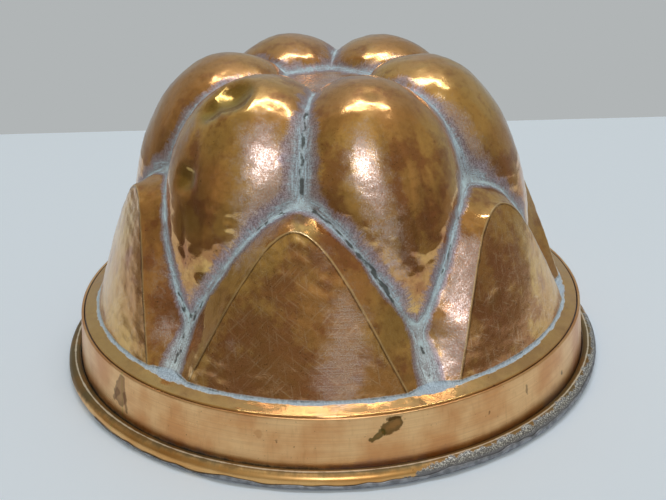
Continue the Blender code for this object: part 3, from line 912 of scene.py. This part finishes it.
def crown_copper():
    """Old polished copper sheet: golden brown, scratched pink where it is rubbed, dull and pale
    with dried polish along its creases, and black where dirt sits in them."""
    (
        material, add, place, crease, along, foot, ridge, flat, worn, silt, valley, fill, crack,
        dent, brown,
    ) = start_material("polished_copper_sheet", MARKS)
    # a slow drift keeps patterns that follow a crease from repeating round the mould
    drift = add(DOT, place, (0.05, 0.04, 0.02))

    # broad changes of tone, 30 mm across; a brown film, 9 mm, which also darkens the folds as
    # painted shade; mottling, 2 mm
    broad = add(SMOOTH, add(NOISE, place, 1 / 30, 3), 0.38, 0.62)
    film = add(TIMES_PLUS, brown, 0.2, add(NOISE, place, 1 / 9, 8, 0.64))
    film = add(SMOOTH, film, 0.5, 0.68, 0, 0.66)
    # the dents are tinted olive: a painted reflection in their bowls
    dent = add(TIMES, dent, 0.6)
    uneven = add(NOISE, place, 1 / 2.2, 5, 0.62)
    mottle = add(SMOOTH, uneven, 0.46, 0.7, 0, 0.45)
    # the ledge, yellower than the walls
    height = add(SPLIT, place, out=2)
    ledge = add(SMOOTH, height, 22.3, 22.9, 0.5, 0)
    # specks of tarnish, 0.6 mm, thicker where the film is
    specks = add(TIMES_PLUS, film, 0.07, add(NOISE, place, 1.5, 4))
    specks = add(SMOOTH, specks, 0.66, 0.73, 0, 0.7)

    # scratches in three directions, 11 mm long and 0.4 mm wide
    scratches = 0
    for turn in (0.6, -0.8, 1.4):
        line = add(STRETCH, place, None, (0, turn, 0), (11, 3, 0.4))
        line = add(RAMP, add(NOISE, line, 1, 2), 0.61, 0.68)
        scratches = add(LARGER, scratches, line)
    # rubbing marks 4 mm high, brush marks 7 mm long on flat faces, and grit of 0.4 mm
    grit = add(NOISE, place, 3, 3, 0.6)
    rubbed, brushed = (
        add(MIX, share, grit, add(NOISE, add(STRETCH, place, None, None, grain), 1, 3))
        for share, grain in ((0.25, (0.45, 0.45, 4)), (0.4, (7, 7, 0.4)))
    )
    rubbed = add(MIX, flat, rubbed, brushed)

    # worn patches, scratched copper painted pale in part as highlight, end in a ragged edge
    ragged = add(NOISE, place, 1 / 3.5, 7, 0.62)
    for field, share in ((ragged, 1.5), (rubbed, 1), (scratches, 0.1)):
        worn = add(TIMES_PLUS, field, share, worn)
    worn = add(SMOOTH, worn, 1.45, 2.35)
    # pale grains in the worn patches and the halo are painted glints; in the roughness the same
    # grains are smoother
    glint = add(SMOOTH, rubbed, 0.4, 0.62)
    pink = add(BLEND, glint, "#A87F70", "#E6D6D2")
    share = add(TIMES, add(RAMP, flat, 0, 1, 0.85, 0.6), worn)
    fine = add(TIMES, add(RAMP, flat, 0, 1, 0.05, 0.4), scratches)
    # the arches' edges: rubbed bright and partly a painted highlight, with a broken dark line of
    # painted shade on the face beside them
    edge = add(SMOOTH, ridge, 0.2, 0.48, 0.75, 0)
    beside = add(SMOOTH, add(TIMES_PLUS, ragged, 1.6, ridge), 1.2, 1.75, 0.8, 0)
    beside = add(MINUS_CLIPPED, add(TIMES, beside, flat), edge)

    # fibres lie along a crease, 6 mm by 0.5 mm, and hairs across it, 3 mm by 0.45 mm
    fibre, hair = (
        add(
            NOISE, add(JOIN, add(TIMES, along, 1 / long), add(TIMES, crease, 1 / wide), drift),
            1, detail,
        )
        for long, wide, detail in ((6, 0.5, 4), (0.45, 3, 3))
    )
    # distance to a crease, with the arches' side counted double so that their heads stay clean
    arch = add(LARGER, add(TIMES, crease, -1), 0)
    narrow = add(RAMP, valley, 0, 0.6, 2, 1)
    away = add(TIMES_PLUS, arch, narrow, add(LARGER, crease, 0))
    # how wide the dried polish lies, and its ragged outer edge
    wander = add(RAMP, add(NOISE, place, 1 / 6, 4), 0.3, 0.7, -1.1, 1.6)
    width = add(PLUS, add(TIMES_PLUS, silt, 5, 1.9), wander)
    width = add(TIMES_PLUS, valley, 5, width)
    fringe = add(TIMES_PLUS, hair, 4.5, -3.6)
    for field, factor in ((fibre, 1.2), (grit, 2)):
        fringe = add(TIMES_PLUS, field, factor, fringe)
    fringe = add(PLUS, away, fringe)
    # dull purple-grey halo, scratched by the brush that worked the polish out of the crease
    halo = add(SMOOTH, fringe, width, add(TIMES_PLUS, width, 1.35, 2), 0.85, 0)
    dull = add(BLEND, glint, "#7C6A72", "#C4B8C4")

    # the dried polish itself: a thin grey-blue film with bare specks, paler along its middle
    polish = add(SMOOTH, fringe, add(TIMES, width, 0.25), width, 0.95, 0)
    plain = add(RAMP, foot, -0.8, 0.4, 1, 0.45)
    tone = add(RAMP, add(MIX, plain, fibre, grit), 0.4, 0.6)
    polish = add(TIMES, polish, add(RAMP, tone, 0, 1, 0.35, 1))
    gaps = add(SMOOTH, add(NOISE, place, 1 / 9, 5), 0.38, 0.54, 0.2, 0.95)
    core = add(SMOOTH, add(TIMES_PLUS, fibre, 2.4, away), 1.1, 1.8, 1, 0)
    core = add(TIMES, core, gaps)
    low = add(TIMES_CLIPPED, valley, tone)
    # the same at the foot of the walls, where it keeps to the ledge under a thin dark line
    outer = add(TIMES_PLUS, grit, 0.6, add(TIMES_PLUS, ragged, 1.4, -0.7))
    outer = add(PLUS, outer, foot)
    thin = add(TIMES, gaps, -0.85)
    below = add(SMOOTH, outer, thin, add(PLUS, thin, 0.35), 0, 0.9)
    line = add(TIMES, below, add(SMOOTH, outer, 0.35, 0.7, 1, 0))
    fill = add(SMOOTH, add(TIMES_PLUS, grit, 0.8, fill), 0.7, 1.1, 0, 0.85)
    line = add(LARGER, line, fill)
    rim = add(BLEND, tone, "#93ADC2", "#D2E6F6")
    chalk = add(BLEND, tone, "#7E97A6", "#CCE6F2")
    for mask, shade in ((core, "#D2EAF2"), (low, "#E8FAFF"), (line, rim)):
        chalk = add(BLEND, mask, chalk, shade)
    polish = add(LARGER, add(LARGER, polish, core), line)

    # black dirt: cracks in some creases, and a broken line along the foot
    crack = add(TIMES_PLUS, grit, 1, add(TIMES_PLUS, ragged, 2.4, crack))
    crack = add(SMOOTH, crack, 2.28, 2.7, 0, 0.88)
    under = add(SMOOTH, add(SIZE, add(MINUS, outer, 0.8)), 0.05, 0.28, 1, 0)
    broken = add(TIMES, add(SMOOTH, ragged, 0.48, 0.62, 0.1, 0.7), under)
    black = add(LARGER, crack, broken)

    colour = add(BLEND, broad, "#EBBE74", "#DCA468")
    for mask, shade in (
        (film, "#A6664A"), (dent, "#9C8A3C"), (mottle, "#B4844A"), (ledge, "#E6BC7C"),
        (specks, "#5E4026"), (share, pink), (fine, "#F0CFAE"), (edge, "#F6D6A6"),
        (beside, "#6B4628"), (halo, dull), (polish, chalk), (black, "#3A3A34"),
    ):
        colour = add(BLEND, mask, colour, shade)
    bare = add(RAMP, add(LARGER, polish, black), 0, 1, 0.97, 0)
    dimmed = add(RAMP, add(LARGER, halo, share), 0, 1, 1, 0.65)

    # duller on the lobes' tops, where hands and cloths meet it; worn copper is part smooth and part
    # matt, grain by grain
    rough = add(SMOOTH, height, 86, 98, 0.09, 0.17)
    rough = add(TIMES_PLUS, mottle, 0.13, rough)
    grained = add(RAMP, glint, 0, 1, 0.38, 0.22)
    for mask, value in ((flat, 0.2), (specks, 0.4), (worn, grained), (halo, 0.45), (polish, 0.8)):
        rough = add(MIX, mask, rough, value)

    # relief of the wear, and tool marks, 4 mm across, that break up every reflection
    depth = add(LARGER, add(LARGER, worn, halo), add(TIMES, flat, 0.3))
    depth = add(RAMP, depth, 0, 1, 0.07, 0.4)
    relief = add(TIMES_PLUS, uneven, 2, add(TIMES_PLUS, scratches, -0.15, rubbed))
    bump = add(BUMP, Height=add(NOISE, place, 1 / 4, 1), Strength=1, Distance=0.00012)
    bump = add(BUMP, Height=relief, Strength=depth, Distance=0.0001, Normal=bump)
    return finished(material, {
        "Base Color": colour,
        "Metallic": add(TIMES, bare, dimmed),
        "Roughness": rough,
        "Normal": bump,
        # fine dust that shows where the surface turns away
        "Sheen Weight": 0.28, "Sheen Roughness": 0.35,
    })


TIN_GREYS = ("#8B8984", "#B8B6B0")


def tin_lining():
    """Wiped tin on the inside: grey, soft and streaked, with a little copper showing through."""
    material, add, place = start_material("wiped_tin_lining")
    cloud = add(NOISE, place, 1 / 14, 5)
    rubbed = add(SMOOTH, cloud, 0.58, 0.72, 0, 0.55)
    streak = add(NOISE, add(MAPPING, place, None, None, (1, 1, 0.15)), 0.8, 4)
    return finished(material, {
        "Base Color": add(BLEND, rubbed, add(BLEND, cloud, *TIN_GREYS), "#B98863"),
        "Metallic": 0.9,
        "Roughness": add(RAMP, streak, 0.3, 0.7, 0.32, 0.55),
        "Normal": add(BUMP, Height=streak, Strength=0.3, Distance=0.0001),
    })


# Marks on the collar, in millimetres round the mould from its front and up: the two ends of a
# narrowing mark, its half width at each, how strong it is and its colour
STAINS = [
    ((-62.2, 18.4), (-63.4, 12), 1.6, 3.4, 0.65, "#6E4520"),
    ((-64.8, 12.6), (-67.2, 9.6), 1.2, 0.4, 0.6, "#6E4520"),
    ((-60.8, 13), (-59.8, 7.6), 1, 0.4, 0.65, "#6E4520"),
    ((31.6, 17.6), (28.8, 16.2), 2.1, 1.9, 0.85, "#5E4218"),
    ((27.4, 15.4), (24.4, 13), 1.2, 0.6, 0.85, "#57481F"),
    ((33.4, 19.6), (28.8, 19), 0.1, 0.3, 0.7, "#4A3518"),
    ((-3.9, 13.1), (-3.9, 12.6), 0.5, 0.4, 0.8, "#6E4A2C"),
    ((-9.4, 15), (-9.2, 14.2), 1.1, 0.7, 0.35, "#B5713A"),
    ((62.8, 13.2), (62.8, 12.8), 0.45, 0.35, 0.7, "#6E4A2C"),
    ((101, 10.4), (101.4, 10), 0.45, 0.35, 0.7, "#5E4A2C"),
    ((79, 16), (79.5, 12.5), 0.25, 0.15, 0.6, "#6E4A2C"),
]
ROUND_MOULD = 90  # millimetres round the collar for each radian


def stain(add, flat, start, end, wide, narrow):
    """Distance to a straight mark that narrows: the nearest place on its middle line, less the half
    width there. It is below 0 inside."""
    step = np.subtract(end, start)
    scaled = step / (step**2).sum()
    from_start = add(FROM, flat, (start[0], 0, start[1]))
    share = add(RAMP, add(DOT, from_start, (scaled[0], 0, scaled[1])), 0, 1)
    nearest = add(SCALED, (step[0], 0, step[1]), share)
    return add(MINUS, add(APART, from_start, nearest), add(RAMP, share, 0, 1, wide, narrow))


def collar_copper(braze):
    """Copper strip rubbed along its length: satin, with brown water marks, tarnish low down, a dark
    groove over the bead, and tin on its right. The braze is a yellower metal with the same wear."""
    material, add, place, groove, raw, turn, inside = start_material(
        "brazing_brass" if braze else "satin_copper_strip", ("groove", "raw", "round", "inside")
    )
    x, y, z = add(SPLIT, place).node.outputs
    arc = add(TIMES, add(ARCTAN, x, add(TIMES, y, -1)), ROUND_MOULD)
    flat = add(JOIN, arc, None, z)

    # rubbing marks: 0.5 mm high and 25 mm long, and broad clouds of tone
    rubbed = add(NOISE, add(STRETCH, flat, None, None, (25, 1, 0.5)), 1, 4)
    cloud = add(SMOOTH, add(NOISE, flat, 1 / 14, 6), 0.36, 0.66)
    tint = add(RAMP, rubbed, 0.35, 0.7, 0, 0.24)
    # drips 5 mm high and 0.8 mm wide, and dots of 1 mm
    drips = add(NOISE, add(STRETCH, flat, None, None, (0.9, 1, 6)), 1, 5, Distortion=0.6)
    drips = add(SMOOTH, drips, 0.52, 0.78, 0, 0.2)
    dots = add(SMOOTH, add(NOISE, flat, 1.1, 3), 0.68, 0.74, 0, 0.7)
    coats = [(tint, "#B98464"), (drips, "#B07C4C"), (dots, "#7A5630")]

    # brown run marks beside the seam and a water stain, darker towards their edges
    ragged = add(NOISE, flat, 1 / 3, 6, 0.6)
    for *mark, strength, shade in STAINS:
        off = add(TIMES_PLUS, ragged, 3.2, stain(add, flat, *mark))
        middle = add(SMOOTH, off, 0, 1.2, 0.75, 0)
        shade = add(BLEND, middle, shade, "#94622A")
        coats.append((add(SMOOTH, off, 1.5, 1.95, strength, 0), shade))

    # tarnish above the bead, broader on the right, brown with purple in places
    tide = add(TIMES_PLUS, cloud, 2.5, add(SMOOTH, arc, 40, 90, 6.6, 10.5))
    tarnish = add(SMOOTH, add(TIMES_PLUS, ragged, 3, z), 5.4, tide, 0.6, 0)
    hue = add(SMOOTH, add(NOISE, flat, 1 / 11, 2), 0.42, 0.6)
    wall = add(SMOOTH, turn, 150, 180)
    tarnish = add(TIMES, tarnish, wall)
    # olive-brown over the bead's top, partly tarnish and partly a painted dark reflection of the
    # wall above it, and over most of the bead at the far left
    bead = add(SMOOTH, wall, 0, 0.5, 1, 0)
    top = add(TIMES_PLUS, ragged, -50, add(SMOOTH, arc, -110, -60, -30, 44))
    top_tarnish_and_shade = add(TIMES, add(SMOOTH, add(MINUS, turn, top), 15, 55, 0, 0.85), bead)
    # dirt in the groove, the bright raw edge in it, and a line rubbed bright along the bead's top
    near = add(PLUS, add(SMOOTH, arc, -20, 60, 0, 0.6), groove)
    dirt = add(SMOOTH, add(TIMES_PLUS, ragged, 1.4, near), 1.1, 2, 0.95, 0)
    crest = add(TIMES_PLUS, ragged, 16, add(SIZE, add(MINUS, turn, 86)))
    crest = add(TIMES, add(SMOOTH, crest, 11, 16, 0.85, 0), bead)
    raw = add(LARGER, add(RAMP, raw, 0.4, 1, 0, 0.9), crest)

    # tin wiped over the bead on the right, silver grey with bare brown patches; its bright grains
    # are painted glints, only on its upper part, so it is darker where it faces down
    grain = add(NOISE, place, 2.4, 4, 0.6)
    limit = add(TIMES_PLUS, ragged, -150, add(SMOOTH, arc, 24, 48, -30, 70))
    limit = add(MINUS, add(PLUS, limit, 20), turn)
    ends = add(SMOOTH, add(TIMES_PLUS, ragged, 40, arc), 172, 178, 1, 0)
    tinned = add(TIMES, add(SMOOTH, limit, -62, -48, 0, 0.95), ends)
    tinned = add(TIMES, tinned, bead)
    crust = add(SMOOTH, turn, 5, 40)
    silver = add(TIMES, add(SMOOTH, grain, 0.48, 0.62), crust)
    # the inside is tinned, as the crown's is
    colour = add(BLEND, cloud, *(("#E4C880", "#C8A462") if braze else ("#F6C88E", "#E0A268")))
    for mask, shade in coats + [
        (tarnish, add(BLEND, hue, "#8A6238", "#8C7A86")), (add(TIMES, bead, 0.35), "#E6B45E"),
        (top_tarnish_and_shade, add(BLEND, hue, "#6B5226", "#4E4A2E")), (dirt, "#2C2C1F"), (raw, "#E8DCC4"),
        (tinned, add(BLEND, silver, "#7A7C80", "#F0F2EC")), (inside, add(BLEND, cloud, *TIN_GREYS)),
    ]:
        colour = add(BLEND, mask, colour, shade)

    dull = add(LARGER, add(MINUS_CLIPPED, dirt, raw), add(TIMES, top_tarnish_and_shade, 0.55))
    metallic = add(RAMP, dull, 0, 1, 1, 0.1)
    rough = add(RAMP, rubbed, 0.3, 0.7, 0.27, 0.37)
    for mask, value in ((tarnish, 0.42), (dull, 0.7), (tinned, 0.5)):
        rough = add(MIX, mask, rough, value)
    strength = add(RAMP, add(TIMES, tinned, crust), 0, 1, 0.06, 0.45)
    return finished(material, {
        "Base Color": colour,
        "Metallic": add(TIMES, metallic, add(RAMP, tinned, 0, 1, 1, 0.8)),
        "Roughness": rough,
        "Normal": add(
            BUMP, Height=add(MIX, tinned, rubbed, grain), Strength=strength, Distance=0.00022
        ),
    })


def wiped_tin(name, pale, dark):
    """Solder and tinning metal: dull silver grey with pits, grime and shinier lumps."""
    material, add, place = start_material(name)
    cloud = add(SMOOTH, add(NOISE, place, 1 / 2.5, 6), 0.36, 0.62)
    grain = add(NOISE, place, 1.6, 5)
    return finished(material, {
        "Base Color": add(BLEND, cloud, dark, pale),
        "Metallic": 0.7,
        "Roughness": add(RAMP, cloud, 0, 1, 0.65, 0.45),
        "Normal": add(BUMP, Height=grain, Strength=0.4, Distance=0.0002),
    })


def drawn_iron():
    """Drawn iron wire: dark grey with spots of brown rust."""
    material, add, place = start_material("drawn_iron_wire")
    spots = add(SMOOTH, add(NOISE, place, 1 / 3, 5), 0.5, 0.66)
    return finished(material, {
        "Base Color": add(BLEND, spots, "#5C5955", "#6A4632"),
        "Metallic": add(RAMP, spots, 0, 1, 1, 0.2),
        "Roughness": add(RAMP, spots, 0, 1, 0.45, 0.85),
    })


# Stage and light

FLOOR_SIDE, FLOOR_FRONT, FLOOR_BACK = 0.33, 1, 0.249
FLOOR_DROP = 0.0001


def studio_floor():
    """A pale matt cloth, square to the camera, whose far edge is the line seen behind the mould."""
    mesh = bpy.data.meshes.new("floor")
    corners = np.array([
        (-FLOOR_SIDE, -FLOOR_FRONT, 0), (FLOOR_SIDE, -FLOOR_FRONT, 0),
        (FLOOR_SIDE, FLOOR_BACK, 0), (-FLOOR_SIDE, FLOOR_BACK, 0),
    ]) @ turned(CAMERA_TURN).T
    mesh.from_pydata(corners.tolist(), [], [(0, 1, 2, 3)])
    floor = put("floor", mesh)
    floor.location.z = -FLOOR_DROP
    mesh.materials.append(finished(start_material("pale_cotton_floor")[0], {
        "Base Color": "#EAF4FF", "Roughness": 0.95, "Specular IOR Level": 0.1,
    }))


LAMP_AIM = np.array([0, 0, 0.06])


def lamp(name, azimuth, rise, distance, size, brightness, colour):
    """A soft panel lamp that faces the mould, its long side level to the camera. brightness is its
    radiance, where 1 is white."""
    data = bpy.data.lights.new(name, "AREA")
    data.shape = "RECTANGLE"
    data.size, data.size_y = size
    data.energy = brightness * np.pi * size[0] * size[1]
    data.color = linear(colour)[:3]
    way = spot(azimuth, np.cos(np.radians(rise)), np.sin(np.radians(rise)))
    level = turned(CAMERA_TURN)[:, 0]
    level = level - (level @ way) * way
    level = level / np.linalg.norm(level)
    columns = [level, np.cross(way, level), way, way * distance + LAMP_AIM]
    put(name, data, np.stack(columns, axis=1))


# Room: brightness along the horizon by angle from the camera's side, positive to its right
ROOM = [
    (-180, "#9A9FA1"), (-150, "#8C9090"), (-125, "#86857F"), (-112, "#888273"), (-104, "#7A7362"),
    (-75, "#716A58"), (-63, "#787060"), (-57, "#8A826E"), (-40, "#867F6E"), (-26, "#8C8472"),
    (0, "#968E7A"), (20, "#968E7A"), (34, "#878070"), (48, "#7F7866"), (55, "#918A78"),
    (73, "#8C8474"), (80, "#878070"), (105, "#898272"), (116, "#888780"), (150, "#909494"),
    (180, "#9A9FA1"),
]
BACKDROP = "#B1B5B6"
# The brightest part of the ceiling, behind the mould: its direction, its colour and how it fades
GLOW_WAY = (0.116, 0.25, 0.961)
GLOW = "#D6DADD"
GLOW_REACH = np.radians((5, 26))


def studio_light():
    """A dim warm room with paler cloth behind, a bright ceiling behind, a key panel over the camera
    and a long panel overhead."""
    world = bpy.data.worlds.new("studio")
    world.use_nodes = True
    add = partial(add_node, world.node_tree)
    way = add(COORDINATES)
    x, y, z = add(SPLIT, way).node.outputs
    least, most = (end + np.radians(CAMERA_TURN) for end in (-np.pi, np.pi))
    turn = add(WRAP, add(ARCTAN, x, add(TIMES, y, -1)), most, least)
    room = add(COLOUR_RAMP, add(RAMP, turn, least, most))
    stops = room.node.color_ramp.elements
    while len(stops) > 1:
        stops.remove(stops[-1])
    stops[0].position, stops[0].color = 0, linear(ROOM[0][1])
    for angle, shade in ROOM[1:]:
        stops.new((angle + 180) / 360).color = linear(shade)
    # the room is darker towards the camera and brighter low down and high up
    dim = add(SMOOTH, y, -0.1, 0.6, 0.8, 1.1)
    low = add(MIX, add(SMOOTH, z, 0.08, 0.35), dim, 1.3)
    low = add(TIMES, low, add(SMOOTH, z, 0.6, 0.9, 1, 1.3))
    glow = add(DOT, way, tuple((turned(CAMERA_TURN) @ np.array(GLOW_WAY)).tolist()))
    glow = add(SMOOTH, add(ARCCOS, glow), *GLOW_REACH, 1, 0)
    colour = add(BLEND, glow, add(SCALED, room, low), GLOW)
    colour = add(BLEND, add(LIGHT_PATH), colour, BACKDROP)
    background = world.node_tree.nodes["Background"]
    feed(background.inputs["Color"], colour)
    feed(background.inputs["Strength"], 1)
    bpy.context.scene.world = world
    lamp("key_panel", 9, 38, 3.3, (0.5, 0.6), 23.5, "#EEF6FF")
    lamp("overhead_panel", CAMERA_TURN + 150, 81, 3.3, (2.8, 0.22), 16, "#EEF6FF")


# Everything

place_camera()
studio_floor()
studio_light()

piece("copper_crown", crown(), [crown_copper(), tin_lining()], "crown_shell")

strip, seam = collar()
piece("copper_collar", strip, [collar_copper(False)], "collar_band")
piece("collar_seam", seam, [collar_copper(True)], "collar_seam_braze")
piece("rim_tin_run", tin_run(), [wiped_tin("wiped_tin_run", "#A0A2A8", "#82848A")],
      "rim_tin")
for node, finish in (
    ("rim_wire", drawn_iron()),
    ("collar_solder", wiped_tin("soft_solder_fillet", "#9C9C9A", "#6A6966")),
):
    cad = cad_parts[node]
    cad.data.materials.clear()
    cad.data.materials.append(finish)

bpy.context.scene.view_settings.view_transform = "Standard"
